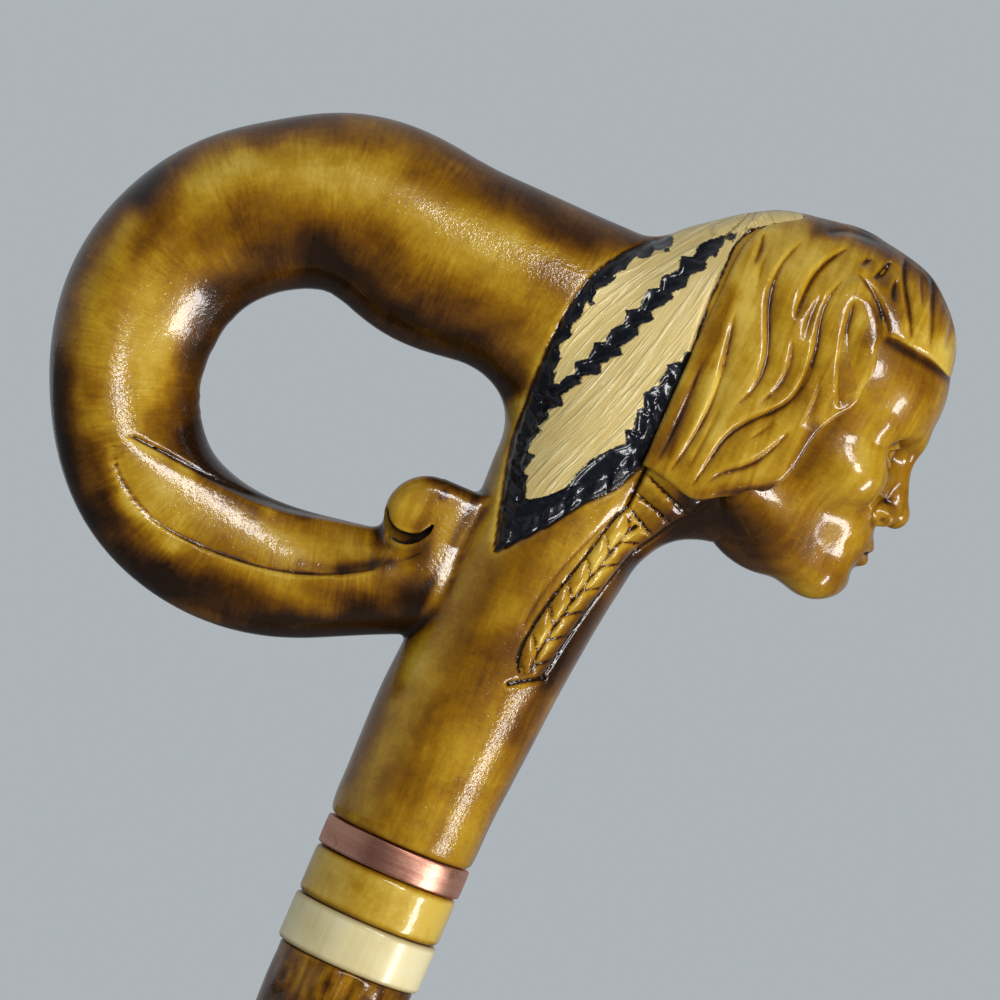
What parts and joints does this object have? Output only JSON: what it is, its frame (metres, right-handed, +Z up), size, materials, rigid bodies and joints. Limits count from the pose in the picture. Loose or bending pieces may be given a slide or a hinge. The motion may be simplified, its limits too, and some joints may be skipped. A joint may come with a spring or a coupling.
{
  "type": "carved walking stick",
  "caption": "Wooden walking stick with a carved head and closed hand loop as its handle, a screw joint under a copper ring, and a rubber tip.",
  "frame": {"origin": "centre of the rubber tip's sole, where the stick stands on the floor", "axes": "+Z up along the shaft, +X the way the carved head looks, with the hand loop towards -X"},
  "size_m": [0.1629, 0.039, 0.92],
  "materials": {
    "stained_wood": "stained and gloss varnished",
    "shaft_wood": "stained and gloss varnished",
    "pale_wood": "satin varnished",
    "copper": "brushed copper",
    "brass": "turned",
    "steel": "zinc plated",
    "rubber": "matte"
  },
  "bodies": {
    "shaft": {"shaft": "shaft_wood", "threaded_insert": "brass", "pale_ring": "pale_wood", "stained_collar": "stained_wood"},
    "copper_ring": {"copper_ring": "copper"},
    "handle": {"handle": "stained_wood", "joining_stud": "steel"},
    "rubber_tip": {"rubber_tip": "rubber", "tip_washer": "steel"}
  },
  "joints": [
    {"name": "handle_turn", "type": "hinge", "parent": "shaft", "child": "copper_ring", "pos_m": [0, 0, 0.777], "axis": [0, 0, 1], "range_deg": [0, 4320]},
    {"name": "handle_lift", "type": "slide", "parent": "copper_ring", "child": "handle", "axis": [0, 0, 1], "range_m": [0, 0.0181]},
    {"name": "tip_pull", "type": "slide", "parent": "shaft", "child": "rubber_tip", "axis": [0, 0, -1], "range_m": [0, 0.034]}
  ],
  "couplings": [
    {"joint": "handle_lift", "follows": "handle_turn", "m_per_rad": 0.00023873}
  ]
}
